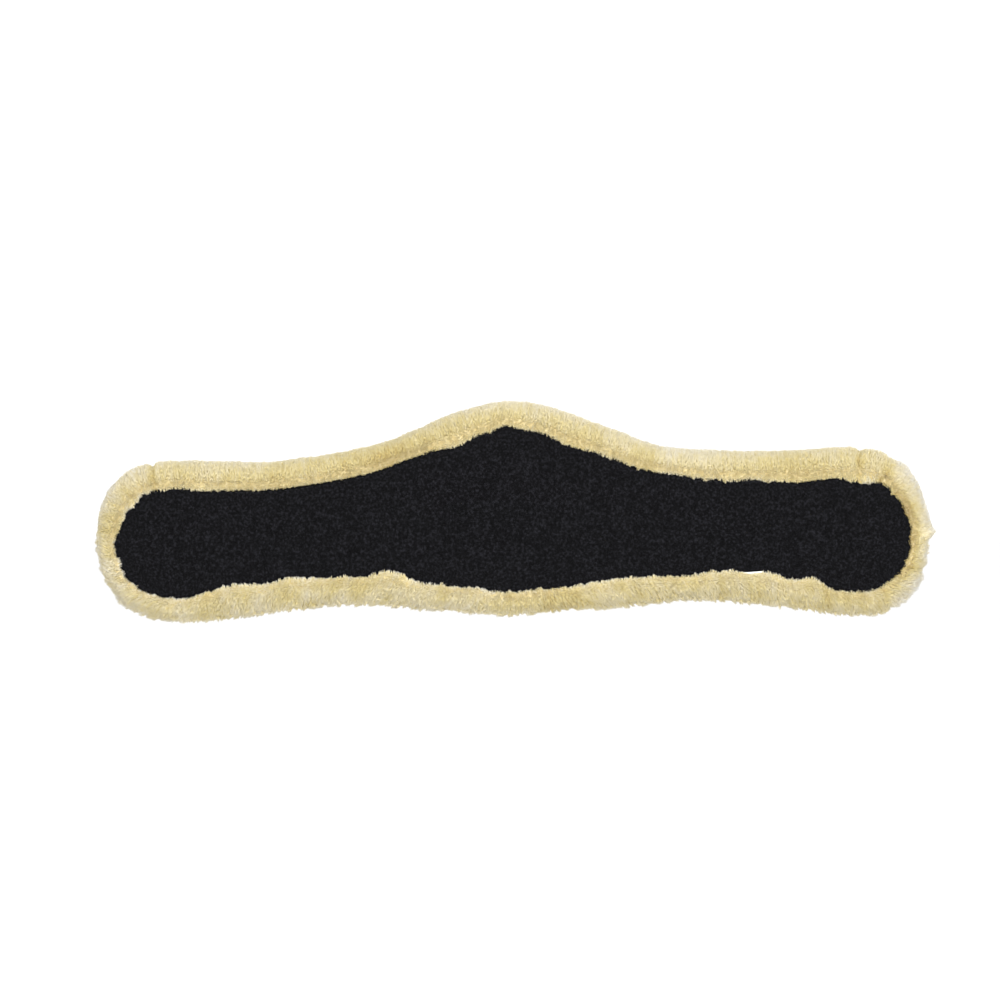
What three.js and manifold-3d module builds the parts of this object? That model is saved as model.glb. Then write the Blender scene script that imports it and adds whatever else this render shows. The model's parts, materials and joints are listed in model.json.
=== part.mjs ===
// Removable sheepskin liner for a short anatomical saddle girth.
//
// The liner is drawn lying flat, in millimetres: X runs along its length, Y across it towards the
// peaked edge, and Z through its thickness, with the face of the loop fabric at Z = 0 and the wool
// below it. The finished group is turned upright at the end, so that the loop face looks along -Y.
//
// Every layer is cut into a centre and two wings where the liner flexes. Each cut is a wedge, open
// towards the wool, with its hinge line on the loop face, so that the wings can bend both ways.

import * as THREE from 'three';
import { mergeVertices } from 'three/addons/utils/BufferGeometryUtils.js';
import Module from 'manifold-3d';

// ---------- driving dimensions, mm ----------

// Outer edge of the wool, clockwise from the tip of the left wing.
const OUTER_EDGE = [
  [-325.5, -24], [-321.5, 3], [-306, 27], [-281, 37.5], [-246, 38.5],
  [-197, 37.5], [-146, 44], [-97, 55.5], [-50, 75], [-4, 85.5],
  [36, 78], [76, 63], [120, 48], [166, 46], [214, 46.5],
  [262, 49], [293, 42.5], [315, 15], [322, -21], [312, -57],
  [290, -77], [262, -80], [214, -74.5], [144, -68.5], [74, -74.5],
  [-4, -80.5], [-66, -75.5], [-130, -72], [-191, -78.5], [-250, -85.5],
  [-288, -80], [-316, -58],
];
const EDGE_STATIONS = 92;         // stations round the liner

const ROLL_WIDTH_TOP = 21;        // outer edge to seam, along the peaked edge
const ROLL_WIDTH_BOTTOM = 18.5;   // along the lower edge
const ROLL_WIDTH_END = 16;        // round the tips of the wings

const LAYER_GAP = 0.3;            // between neighbouring layers
const LOOP_THICKNESS = 2;
const INTERLINING_THICKNESS = 1;
const FOAM_THICKNESS = 6.4;
const HIDE_THICKNESS = 1;
const PILE_LENGTH = 12.4;
const ROLL_CROWN = 1.8;           // how far the rolled wool stands above the loop face
const HIDE_ROUNDING = 1.3;        // drop from the rolled hide's faces to its rounded outer corners
const WOOL_ROUNDING = 1.1;        // the same, inside the wool and inside the hide

const THREAD_RADIUS = 0.3;
const THREAD_SIDES = 5;

const LABEL_CENTRE_X = 184;
const LABEL_WIDTH = 15;
const LABEL_HEIGHT = 7;
const LABEL_THICKNESS = 0.8;
const LABEL_PLY_GAP = 0.1;        // between its two plies
const LABEL_SETBACK = 1;          // from the edge of the loop fabric to its raw ends
const LABEL_FOLD_SEGMENTS = 4;

const FLEX_X = 130;               // hinge lines, left and right of the peak
const FLEX_TO_WOOL = 60;          // degrees, as the girth wraps the horse
const FLEX_TO_LOOP = 75;          // degrees, folded the other way
const CUT_GAP = 0.3;
const CUT_REACH = 400;            // larger than the liner, for the cutting solids
const CUT_MARGIN = 4;             // how far those solids pass the liner's faces
const WELD_DISTANCE = 1e-4;

// ---------- layer heights ----------

const loopBottom = -LOOP_THICKNESS;
const interliningTop = loopBottom - LAYER_GAP;
const interliningBottom = interliningTop - INTERLINING_THICKNESS;
const foamTop = interliningBottom - LAYER_GAP;
const foamBottom = foamTop - FOAM_THICKNESS;
const hideTop = foamBottom - LAYER_GAP;
const hideBottom = hideTop - HIDE_THICKNESS;
const pileTop = hideBottom - LAYER_GAP;
const pileBottom = pileTop - PILE_LENGTH;

// Distances inward from the outer edge, as fractions of the roll's width: 1 is the seam.
const LOOP_EDGE = 1;
const INTERLINING_EDGE = 1.26;
const FOAM_EDGE = 0.7;
const FACE_EDGE = 1.04;
const LOOP_SEAM = 0.96;
const FACE_SEAM = 1;

// Sections of the rolled edge as [fraction of roll width, height], round from the loop seam over
// the outside to the wool face, and back along the inside.
const hideMiddle = (interliningTop + hideBottom) / 2;
const ROLLED_HIDE = [
  [1.2, interliningTop], [0.62, interliningTop], [0.45, interliningTop - HIDE_ROUNDING],
  [0.35, hideMiddle], [0.45, hideBottom + HIDE_ROUNDING], [0.62, hideBottom], [0.96, hideBottom],
  [0.96, hideTop], [0.64, hideTop], [0.51, hideTop + WOOL_ROUNDING],
  [0.42, hideMiddle], [0.51, interliningBottom - WOOL_ROUNDING], [0.64, interliningBottom],
  [1.2, interliningBottom],
];
const ROLLED_WOOL = [
  [0.92, loopBottom], [0.92, -0.2], [0.84, 1.2], [0.6, ROLL_CROWN], [0.3, 0.2],
  [0.08, -4.5], [0, -11], [0.08, -17.5], [0.3, -22.3], [0.62, pileBottom], [0.98, pileBottom],
  [0.98, pileTop], [0.6, pileTop], [0.42, hideBottom + WOOL_ROUNDING],
  [0.315, hideMiddle], [0.42, interliningTop - WOOL_ROUNDING], [0.6, loopBottom],
];

// ---------- materials ----------

const loopFabric = new THREE.MeshStandardMaterial({ color: 0x17181c, roughness: 0.95 });
const interliningFelt = new THREE.MeshStandardMaterial({ color: 0x8c8c88, roughness: 0.9 });
const foam = new THREE.MeshStandardMaterial({ color: 0xd8d2c0, roughness: 0.9 });
const hide = new THREE.MeshStandardMaterial({ color: 0xd9c39a, roughness: 0.7 });
const wool = new THREE.MeshStandardMaterial({ color: 0xe4d3a0, roughness: 1 });
const blackThread = new THREE.MeshStandardMaterial({ color: 0x101012, roughness: 0.6 });
const creamThread = new THREE.MeshStandardMaterial({ color: 0xd8c796, roughness: 0.6 });
const labelSatin = new THREE.MeshStandardMaterial({ color: 0xf4f4f2, roughness: 0.5 });

// ---------- the outline and its offsets ----------

const outerCurve = new THREE.CatmullRomCurve3(
  OUTER_EDGE.map(([x, y]) => new THREE.Vector3(x, y, 0)), true, 'centripetal',
);

// One station: a point on the outer edge, the direction inward from it, and the roll's width there.
function makeStation(index) {
  const along = index / EDGE_STATIONS;
  const point = outerCurve.getPointAt(along);
  const tangent = outerCurve.getTangentAt(along);
  const inward = new THREE.Vector2(tangent.y, -tangent.x);
  const sideWidth = inward.y < 0 ? ROLL_WIDTH_TOP : ROLL_WIDTH_BOTTOM;
  const width = THREE.MathUtils.lerp(ROLL_WIDTH_END, sideWidth, Math.abs(inward.y));
  return { point, inward, width };
}

const stations = Array.from({ length: EDGE_STATIONS }, (_, index) => makeStation(index));

function offsetPoint({ point, inward, width }, fraction) {
  return new THREE.Vector2(
    point.x + inward.x * width * fraction,
    point.y + inward.y * width * fraction,
  );
}

// ---------- solids ----------

// A flat layer that fills the outline at one distance inward.
function layer(fraction, top, bottom) {
  const outline = new THREE.Shape(stations.map((station) => offsetPoint(station, fraction)));
  const geometry = new THREE.ExtrudeGeometry(outline, { depth: top - bottom, bevelEnabled: false });
  return geometry.translate(0, 0, bottom);
}

// A closed ring that carries one section round the whole edge.
function ring(section) {
  const positions = [];
  for (const station of stations) {
    for (const [fraction, height] of section) {
      const { x, y } = offsetPoint(station, fraction);
      positions.push(x, y, height);
    }
  }
  const indices = [];
  const sides = section.length;
  for (let i = 0; i < EDGE_STATIONS; i += 1) {
    for (let j = 0; j < sides; j += 1) {
      const nextStation = ((i + 1) % EDGE_STATIONS) * sides;
      const nextSide = (j + 1) % sides;
      const a = i * sides + j;
      const b = i * sides + nextSide;
      const c = nextStation + nextSide;
      const d = nextStation + j;
      indices.push(a, c, b, a, d, c);
    }
  }
  const geometry = new THREE.BufferGeometry();
  geometry.setAttribute('position', new THREE.Float32BufferAttribute(positions, 3));
  geometry.setIndex(indices);
  return geometry;
}

// A seam's thread, as a round ring of its own along the edge.
function threadRing(fraction, height) {
  const meanWidth = (ROLL_WIDTH_TOP + ROLL_WIDTH_END) / 2;
  const section = Array.from({ length: THREAD_SIDES }, (_, side) => {
    const angle = (side / THREAD_SIDES) * 2 * Math.PI;
    const across = (THREAD_RADIUS * Math.cos(angle)) / meanWidth;
    return [fraction + across, height + THREAD_RADIUS * Math.sin(angle)];
  });
  return ring(section);
}

// A small ribbon folded double, lying on the loop fabric with its raw ends at the lower seam.
function foldedLabel() {
  const ply = (LABEL_THICKNESS - LABEL_PLY_GAP) / 2;
  const foldRadius = LABEL_THICKNESS / 2;
  const profile = new THREE.Shape();
  profile.moveTo(0, 0);
  profile.lineTo(LABEL_HEIGHT - foldRadius, 0);
  profile.absarc(LABEL_HEIGHT - foldRadius, foldRadius, foldRadius, -Math.PI / 2, Math.PI / 2, false);
  profile.lineTo(0, LABEL_THICKNESS);
  profile.lineTo(0, LABEL_THICKNESS - ply);
  profile.lineTo(LABEL_HEIGHT - foldRadius, LABEL_THICKNESS - ply);
  profile.lineTo(LABEL_HEIGHT - foldRadius, ply);
  profile.lineTo(0, ply);
  const geometry = new THREE.ExtrudeGeometry(profile, {
    depth: LABEL_WIDTH, bevelEnabled: false, curveSegments: LABEL_FOLD_SEGMENTS,
  });
  // The profile's X becomes Y, its Y becomes Z and its depth becomes X.
  const upright = new THREE.Matrix4().makeBasis(
    new THREE.Vector3(0, 1, 0), new THREE.Vector3(0, 0, 1), new THREE.Vector3(1, 0, 0),
  );
  return geometry.applyMatrix4(upright);
}

// ---------- cutting at the flex lines ----------

const wasm = await Module();
wasm.setup();

function toSolid(geometry) {
  const bare = new THREE.BufferGeometry();
  bare.setAttribute('position', geometry.getAttribute('position'));
  if (geometry.index) {
    bare.setIndex(geometry.index);
  }
  const merged = mergeVertices(bare, WELD_DISTANCE);
  const vertProperties = new Float32Array(merged.getAttribute('position').array);
  const triVerts = new Uint32Array(merged.index.array);
  return new wasm.Manifold(new wasm.Mesh({ numProp: 3, vertProperties, triVerts }));
}

function toGeometry(solid) {
  const { vertProperties, triVerts } = solid.getMesh();
  const geometry = new THREE.BufferGeometry();
  geometry.setAttribute('position', new THREE.BufferAttribute(vertProperties, 3));
  geometry.setIndex(new THREE.BufferAttribute(triVerts, 1));
  geometry.computeVertexNormals();
  return geometry;
}

// The side of a flex cut, as [distance back from the hinge line, height], loop side first.
const halfGap = CUT_GAP / 2;
const openToLoop = Math.tan(THREE.MathUtils.degToRad(FLEX_TO_LOOP / 2));
const openToWool = Math.tan(THREE.MathUtils.degToRad(FLEX_TO_WOOL / 2));
const cutTop = CUT_MARGIN;
const cutBottom = pileBottom - CUT_MARGIN;
const CUT_SIDE = [
  [halfGap + cutTop * openToLoop, cutTop],
  [halfGap, 0],
  [halfGap - cutBottom * openToWool, cutBottom],
];

// A prism whose X-Z profile is extruded across the liner between two values of Y.
function region(profile, yLow, yHigh) {
  const shape = new THREE.Shape(profile.map(([x, z]) => new THREE.Vector2(x, z)));
  const geometry = new THREE.ExtrudeGeometry(shape, { depth: yHigh - yLow, bevelEnabled: false });
  return toSolid(geometry.rotateX(Math.PI / 2).translate(0, yHigh, 0));
}

const rightOfLeftCut = CUT_SIDE.map(([back, z]) => [-FLEX_X + back, z]);
const leftOfRightCut = CUT_SIDE.map(([back, z]) => [FLEX_X - back, z]).reverse();
const leftOfLeftCut = CUT_SIDE.map(([back, z]) => [-FLEX_X - back, z]).reverse();
const rightOfRightCut = CUT_SIDE.map(([back, z]) => [FLEX_X + back, z]);

const centreProfile = [...rightOfLeftCut, ...leftOfRightCut];
const leftProfile = [[-CUT_REACH, cutTop], [-CUT_REACH, cutBottom], ...leftOfLeftCut];
const rightProfile = [...rightOfRightCut, [CUT_REACH, cutBottom], [CUT_REACH, cutTop]];

const REGIONS = {
  left: region(leftProfile, -CUT_REACH, CUT_REACH),
  centre: region(centreProfile, -CUT_REACH, CUT_REACH),
  centre_top: region(centreProfile, 0, CUT_REACH),
  centre_bottom: region(centreProfile, -CUT_REACH, 0),
  right: region(rightProfile, -CUT_REACH, CUT_REACH),
};
const LAYER_REGIONS = ['left', 'centre', 'right'];
const RING_REGIONS = ['left', 'centre_top', 'centre_bottom', 'right'];

// ---------- assembly ----------

const group = new THREE.Group();

function addPieces(name, geometry, material, regionNames) {
  const whole = toSolid(geometry);
  for (const regionName of regionNames) {
    const mesh = new THREE.Mesh(toGeometry(whole.intersect(REGIONS[regionName])), material);
    mesh.name = `${name}_${regionName}`;
    group.add(mesh);
  }
}

addPieces('loop_panel', layer(LOOP_EDGE, 0, loopBottom), loopFabric, LAYER_REGIONS);
addPieces(
  'interlining', layer(INTERLINING_EDGE, interliningTop, interliningBottom),
  interliningFelt, LAYER_REGIONS,
);
addPieces('foam_core', layer(FOAM_EDGE, foamTop, foamBottom), foam, LAYER_REGIONS);
addPieces('face_hide', layer(FACE_EDGE, hideTop, hideBottom), hide, LAYER_REGIONS);
addPieces('face_wool', layer(FACE_EDGE, pileTop, pileBottom), wool, LAYER_REGIONS);
addPieces('edge_hide', ring(ROLLED_HIDE), hide, RING_REGIONS);
addPieces('edge_wool', ring(ROLLED_WOOL), wool, RING_REGIONS);
addPieces('loop_seam_thread', threadRing(LOOP_SEAM, loopBottom / 2), blackThread, RING_REGIONS);
addPieces(
  'face_seam_thread', threadRing(FACE_SEAM, (hideTop + hideBottom) / 2),
  creamThread, RING_REGIONS,
);

const labelStation = stations.reduce((best, station) => {
  const isLower = station.inward.y > 0;
  const isNearer = Math.abs(station.point.x - LABEL_CENTRE_X) < Math.abs(best.point.x - LABEL_CENTRE_X);
  return isLower && isNearer ? station : best;
}, stations[0]);
const careLabel = new THREE.Mesh(foldedLabel(), labelSatin);
careLabel.name = 'care_label';
const labelSeamY = offsetPoint(labelStation, LOOP_EDGE).y + LABEL_SETBACK;
careLabel.position.set(LABEL_CENTRE_X - LABEL_WIDTH / 2, labelSeamY, LAYER_GAP);
group.add(careLabel);

// Stand the liner upright: its loop face looks along -Y and its peaked edge points along +Z.
group.rotation.x = Math.PI / 2;

export default group;
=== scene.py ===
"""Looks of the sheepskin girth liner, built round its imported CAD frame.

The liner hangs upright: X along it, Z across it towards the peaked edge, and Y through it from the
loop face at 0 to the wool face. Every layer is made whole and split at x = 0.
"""

import json
import math
from collections import Counter, namedtuple

import bmesh
import bpy
import numpy as np
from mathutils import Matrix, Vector
from mathutils.kdtree import KDTree
from mathutils.geometry import delaunay_2d_cdt


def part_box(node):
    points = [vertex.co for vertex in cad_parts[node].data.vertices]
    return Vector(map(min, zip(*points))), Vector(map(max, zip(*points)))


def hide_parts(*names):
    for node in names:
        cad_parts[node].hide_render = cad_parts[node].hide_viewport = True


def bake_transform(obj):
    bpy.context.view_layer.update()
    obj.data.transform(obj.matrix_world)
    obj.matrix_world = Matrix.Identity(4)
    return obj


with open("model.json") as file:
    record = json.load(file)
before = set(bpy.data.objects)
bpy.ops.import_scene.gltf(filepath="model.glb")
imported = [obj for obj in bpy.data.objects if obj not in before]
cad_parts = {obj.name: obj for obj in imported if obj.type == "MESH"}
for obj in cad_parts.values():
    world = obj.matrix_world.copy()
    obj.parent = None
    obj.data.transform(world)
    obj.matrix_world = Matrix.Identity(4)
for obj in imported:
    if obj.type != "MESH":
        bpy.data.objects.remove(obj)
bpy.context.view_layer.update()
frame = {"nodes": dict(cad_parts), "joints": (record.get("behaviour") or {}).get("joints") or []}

MM = 0.001
RNG = np.random.default_rng(41)

# ---------- places, from the frame ----------

panel_low, panel_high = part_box("loop_panel_centre")
wool_low, wool_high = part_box("face_wool_centre")
hide_low, hide_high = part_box("face_hide_centre")
foam_low, foam_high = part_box("foam_core_centre")
felt_low, felt_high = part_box("interlining_centre")
label_low, label_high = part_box("care_label")

ROLL_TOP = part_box("edge_wool_centre_top")[1].z - panel_high.z
ROLL_BOTTOM = panel_low.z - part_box("edge_wool_centre_bottom")[0].z
ROLL_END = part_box("loop_panel_left")[0].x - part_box("edge_wool_left")[0].x
ROLL_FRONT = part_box("edge_wool_left")[0].y
ROLL_BACK = wool_high.y
FLEX_X = next(abs(j["pos_m"][0]) for j in frame["joints"])
LABEL_X = (label_low.x + label_high.x) / 2
LABEL_WIDE = label_high.x - label_low.x

# ---------- sizes ----------

STATION_STEP = 1.0 * MM           # spacing of the outline's points
MOST_STRANDS = 19000              # strands in one piece
EDGE_FRONT_DENSITY = 2.8e6        # strands of wool per square metre
EDGE_BACK_DENSITY = 1.7e6
FRONT_SHARE = 0.55                # share of the roll's section that faces the loop side
BACK_SHARE = 0.45
ROLL_GIRTH = 58                   # millimetres round the roll's section
FACE_DENSITY = 1.4e6
FUZZ_DENSITY = 1.1e6
RIM_FUZZ_DENSITY = 9000           # fringe fibres per metre of the panel's edge
EDGE_FIBRE = (0.2, 0.34)          # least and greatest radius of each kind of fibre, in millimetres
FACE_FIBRE = (0.36, 0.52)
FUZZ_FIBRE = (0.13, 0.22)
RIM_FIBRE = (0.15, 0.24)
FUZZ_LENGTH = (0.55, 1.0)
FACE_PILE_ROOT = 5.0 * MM         # how deep in the face's wool its fibres start
FACE_PILE_RISE = 5.4 * MM
LOCK_WIDTH = 2.4 * MM             # size of the locks of wool on the rolled edge
LOCK_LENGTH = 5.5 * MM
FACE_LOCK = 4.4 * MM
PANEL_TUCK = 0.3 * MM             # the loop panel reaches this far past its seam line
PANEL_STEP = 5 * MM
MOST_SWELL = 0.9 * MM
CLOTH_FRAMES = 20
STITCH_PITCH = 4.2 * MM
STITCH_LENGTH = 3.3 * MM
STITCH_LIFT = 0.4 * MM
STITCH_RADIUS = 0.3 * MM
STITCH_PROFILE = np.array([0.45, 0.85, 1, 1, 1, 0.85, 0.45])
STITCH_SIDES = 6
LOOP_SEAM_INSET = 2.2 * MM        # from the panel's edge to its seam
LABEL_SHOWN_TO = -47.3 * MM       # height of the label's fold
LABEL_FOLD = 0.3 * MM             # radius of the fold
LABEL_HALF_PLY = 0.11 * MM
LABEL_FORWARD = 1.5 * MM          # how far the fold stands in front of the sewn end
LABEL_COLUMNS = 17
LABEL_TILT = 0.06
LABEL_COVER = -48.3 * MM          # height that the wool in front of the label reaches
LABEL_COVER_SLOPE = -0.13
WORLD_STRENGTH = 1.2
KEY_LIGHT = {"place": (0.15, -2.2, 0.9), "size": 1.8, "power": 52}
FILL_LIGHT = {"place": (0.7, 2.5, 0.7), "size": 1.6, "power": 46}
FLOOR_HEIGHT = -0.45
FLOOR_HALF = 30
LENS = 100
VIEW_WIDTH = 777.5 * MM           # what the camera sees across, at the liner's middle
VIEW_X, VIEW_Z = -11.7 * MM, 8.6 * MM

# Where the wool spills over the loop panel, or draws back: x, side, reach, half-width.
SPILLS = [
    (-300, 1, 2.0, 10), (-86, 1, -1.8, 16), (-47, 1, 3.2, 13), (-8, 1, -2.6, 6), (45, 1, 2.6, 14),
    (120, 1, -1.4, 20), (168, 1, 1.2, 10), (222, 1, 2.7, 24), (268, 1, 3.8, 16), (306, 1, -1.5, 8),
    (-298, -1, -2.6, 14), (-266, -1, -2.2, 26), (-222, -1, 4.8, 24), (-170, -1, 4.0, 30),
    (-128, -1, 1.8, 10), (-97, -1, 7.0, 15), (-6, -1, -1.6, 12), (80, -1, 2.0, 26),
    (158, -1, 2.4, 14), (190, -1, 5.8, 22), (229, -1, 5.4, 10), (258, -1, -1.8, 20),
    (306, -1, -1.5, 8),
]
# Joins and creases that run across the rolled edge: x, side, depth, half-width. Their depth also
# darkens the wool there, as painted shade.
CREASES = [
    (-278, 1, 3.0, 2.0), (-296, 1, 1.0, 3.5), (-262, 1, 0.7, 3.0), (266, 1, 2.2, 3.2),
    (284, 1, 2.6, 3.0), (-318, -1, 1.2, 3.0), (-300, -1, 1.0, 3.5), (301, 1, 1.2, 3.0),
    (283, -1, 2.0, 2.4), (267, -1, 1.2, 3.0), (302, -1, 1.4, 3.0),
]
# A join in the wool, where a pale fringe hangs over the panel: x, side, strength, half-width.
JOINS = [(272, 1, 1.0, 11)]
# Stretches where the panel's rim is neat: x, side, how neat from 0 to 1, half-width.
NEAT_RUNS = [(-150, 1, 1.0, 78), (40, 1, 0.2, 30), (232, 1, 0.9, 22)]
# Where the wool stands out, or draws in: x, z, size, radius. The first is a single tuft.
TUFTS = [
    (319, -17, 6.2, 5), (312, 12, 2.4, 20), (300, -62, 2.0, 24), (-298, -72, 1.8, 30),
    (-300, 28, 0.3, 26), (296, 36, 1.6, 14), (150, 44, 1.0, 16), (-322, -20, -1.0, 24),
    (-110, 50, -1.2, 45), (34, -78, -2.6, 20),
]
FULLNESS = 0.7 * MM               # how much the wool stands out everywhere
# Unevenness of the wool at the panel: feature size, seed, depth, how much deeper round the ends.
SCALLOPS = [(8.5, 51, 0.3, 1.2), (3.5, 52, 0.35, 0.4)]


# ---------- rows of numbers ----------

def scatter(count, amount):
    """Random numbers round 0, spread that far."""
    return RNG.normal(size=count) * amount


def ease(value):
    """0 up to 0, 1 from 1, and smooth between."""
    value = np.clip(value, 0, 1)
    return value * value * (3 - 2 * value)


def smooth_round(values, spread):
    """Closed rows of numbers, averaged with their neighbours over that many rows."""
    reach = np.arange(-3 * spread, 3 * spread + 1)
    weights = np.exp(-0.5 * (reach / spread) ** 2)
    weights /= weights.sum()
    return sum(w * np.roll(values, -r, axis=0) for w, r in zip(weights, reach))


def lifted(flat, depth):
    """Points in space from (x, z) points, at one depth or a depth for each."""
    return np.stack([flat[:, 0], np.broadcast_to(depth, len(flat)), flat[:, 1]], axis=1)


def corners_of(mesh):
    return np.array([v.co for v in mesh.vertices], float)


def interpolated(at, places, rows):
    """The rows of a two-column array, interpolated at other places."""
    return np.stack([np.interp(at, places, rows[:, i]) for i in (0, 1)], axis=1)


# ---------- repeatable noise ----------

def lattice(cell, seed):
    """A repeatable random number from -1 to 1 for each row of whole numbers."""
    cell = cell.astype(np.int64)
    mixed = cell[:, 0] * 374761393 + cell[:, 1] * 668265263 + cell[:, 2] * 1440662683
    mixed = (mixed + seed * 1274126177) & 0xFFFFFFFF
    mixed = ((mixed ^ (mixed >> 13)) * 1274126177) & 0xFFFFFFFF
    return ((mixed ^ (mixed >> 16)) & 0xFFFF) / 32767.5 - 1


def noise(points, size, seed):
    """Smooth noise from -1 to 1, with features of about that size, at each point."""
    scaled = np.asarray(points, float) / size
    base = np.floor(scaled)
    part = ease(scaled - base)
    total = np.zeros(len(scaled))
    for corner in np.ndindex(2, 2, 2):
        weight = np.prod(np.where(corner, part, 1 - part), axis=1)
        total += weight * lattice(base + corner, seed)
    return total


# ---------- the outline ----------

def front_outline(node):
    """The edges round a node's loop side, in micrometres, without those on its flex cuts."""
    mesh = frame["nodes"][node].data
    mesh.calc_loop_triangles()
    points = corners_of(mesh)
    low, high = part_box(node)
    keys = [tuple(k) for k in np.round(points[:, [0, 2]] * 1e6).astype(int)]
    uses = Counter()
    for triangle in mesh.loop_triangles:
        a, b, c = triangle.vertices
        if points[[a, b, c], 1].max() <= low.y + 1e-5:
            uses.update(frozenset((keys[i], keys[j])) for i, j in ((a, b), (b, c), (c, a)))
    cuts = [x for x in (low.x, high.x) if abs(abs(x) - FLEX_X) < MM]
    return [
        tuple(edge) for edge, count in uses.items()
        if count == 1 and not any(all(abs(k[0] * 1e-6 - x) < 1e-5 for k in edge) for x in cuts)
    ]


def chained(edges):
    """Runs of points, each in order, that the edges make up."""
    near = {}
    for a, b in edges:
        near.setdefault(a, []).append(b)
        near.setdefault(b, []).append(a)
    runs, seen = [], set()
    for end in [k for k, others in near.items() if len(others) == 1]:
        run, onward = [], {end} - seen
        while onward:
            run.append(onward.pop())
            seen.add(run[-1])
            onward = set(near[run[-1]]) - seen
        if run:
            runs.append(np.array(run, float) * 1e-6)
    return runs


def whole_outline():
    """The loop panel's closed edge as (x, z) points, clockwise from the left flex line's top."""
    runs = []
    for node in ("loop_panel_left", "loop_panel_centre", "loop_panel_right"):
        runs += chained(front_outline(node))
    left, *middle, right = sorted(runs, key=lambda r: r[:, 0].mean())
    bottom, top = sorted(middle, key=lambda r: r[:, 1].mean())
    joined = []
    for run, axis, sign in ((top, 0, 1), (right, 1, -1), (bottom, 0, -1), (left, 1, 1)):
        step = sign if run[-1, axis] > run[0, axis] else -sign
        joined.append(run[::step][1:-1])
    return np.concatenate(joined)


Spot = namedtuple("Spot", "point out along width spill crease neat endness join")


class Outline:
    """The panel's edge, finely spaced: points, outward directions and the roll's width."""

    def __init__(self):
        corners = whole_outline()
        closed = np.vstack([corners, corners[:1]])
        length = np.concatenate([[0], np.cumsum(np.linalg.norm(np.diff(closed, axis=0), axis=1))])
        count = int(round(length[-1] / STATION_STEP))
        at = np.arange(count) * length[-1] / count
        self.points = smooth_round(interpolated(at, length, closed), 5)
        tangent = np.roll(self.points, -1, axis=0) - np.roll(self.points, 1, axis=0)
        tangent = smooth_round(tangent, 4)
        tangent /= np.linalg.norm(tangent, axis=1)[:, None]
        self.out = np.stack([-tangent[:, 1], tangent[:, 0]], axis=1)
        self.along = tangent
        self.length = length[-1]
        self.count = count
        side = np.where(self.out[:, 1] > 0, ROLL_TOP, ROLL_BOTTOM)
        self.width = ROLL_END + (side - ROLL_END) * np.abs(self.out[:, 1])
        self.neat = np.clip(self.bumps(NEAT_RUNS) / MM, 0, 1)
        self.endness = np.clip(np.abs(self.out[:, 0]) * 1.5 - 0.3, 0, 1)
        arc = np.arange(self.count) * STATION_STEP
        scallop = sum(
            self.ripple(arc, size * MM, seed) * (depth + deeper * self.endness)
            for size, seed, depth, deeper in SCALLOPS
        )
        scallop += ease((self.ripple(arc, 4 * MM, 53) - 0.3) / 0.3)
        self.spill = self.bumps(SPILLS) + scallop * (1 - 0.85 * self.neat) * MM
        self.crease = self.bumps(CREASES)
        self.join = self.bumps(JOINS) / MM
        self.rows = np.column_stack([
            self.points, self.out, self.along, self.width, self.spill, self.crease,
            self.neat, self.endness, self.join,
        ])

    def ripple(self, arc, size, seed):
        """Noise along the edge, from -1 to 1, that meets itself at the ends."""
        turn = arc / self.length * 2 * math.pi
        radius = self.length / (2 * math.pi)
        ring = np.stack([np.cos(turn) * radius, np.sin(turn) * radius, 0 * turn], axis=1)
        return noise(ring, size, seed)

    def bumps(self, entries):
        """The sum of smooth bumps along the edge, each given in millimetres."""
        total = np.zeros(self.count)
        for x, side, size, half in entries:
            near = (self.points[:, 0] - x * MM) / (half * MM)
            facing = ease(0.5 + 2 * self.out[:, 1] * side)
            total += size * MM * np.exp(-near ** 2) * facing
        return total

    def at(self, place):
        """Every property of the edge at fractional stations."""
        place = np.asarray(place, float)
        low = np.floor(place).astype(int)
        part = (place - low)[:, None]
        rows = self.rows[low % self.count] * (1 - part)
        rows += self.rows[(low + 1) % self.count] * part
        return Spot(rows[:, 0:2], rows[:, 2:4], rows[:, 4:6], *rows[:, 6:].T)


edge = Outline()

# Section of the rolled edge as [share of the roll's width outward from the seam, depth], from the
# loop seam over the outside to the wool face. The tips of the wool reach this far.
ROLL_SECTION = np.array([
    [0.0, 0.5], [0.08, -1.1], [0.28, -2.2], [0.52, -1.6], [0.76, 1.2], [0.93, 5.5],
    [1.0, 11.0], [0.94, 17.0], [0.76, 21.8], [0.5, 24.0], [0.22, 24.5], [-0.06, 24.4],
])
# The inside of the wool, against the hide that carries it.
WOOL_INSIDE = np.array([
    [0.05, 1.8], [0.35, 2.1], [0.6, 3.6], [0.69, 6.6], [0.56, 9.8], [0.25, 11.3], [0.0, 11.7],
])
HIDE_OUTSIDE = np.array([
    [-0.16, 2.35], [0.05, 2.3], [0.35, 2.6], [0.56, 4.1], [0.63, 6.6], [0.52, 9.4], [0.25, 10.7],
    [0.03, 11.0],
])
HIDE_INSIDE = np.array([
    [-0.16, 3.2], [0.05, 3.2], [0.32, 3.5], [0.5, 4.8], [0.57, 6.6], [0.47, 8.7], [0.24, 9.8],
    [0.03, 10.1],
])
ROLL_CORE = np.array([0.3, 11.0])
CORE_SCALE = 0.3                   # a scale inside the roll that fibres point away from
BASE_SHARE = 0.84                  # the dense base's size, as a share of the section
LIP_SHARE = 0.07                   # how near the loop seam the base fills the whole section
FRONT_FADE = 0.42                  # share of the section over which the spill dies away
PATH_POINTS = 240


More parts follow.
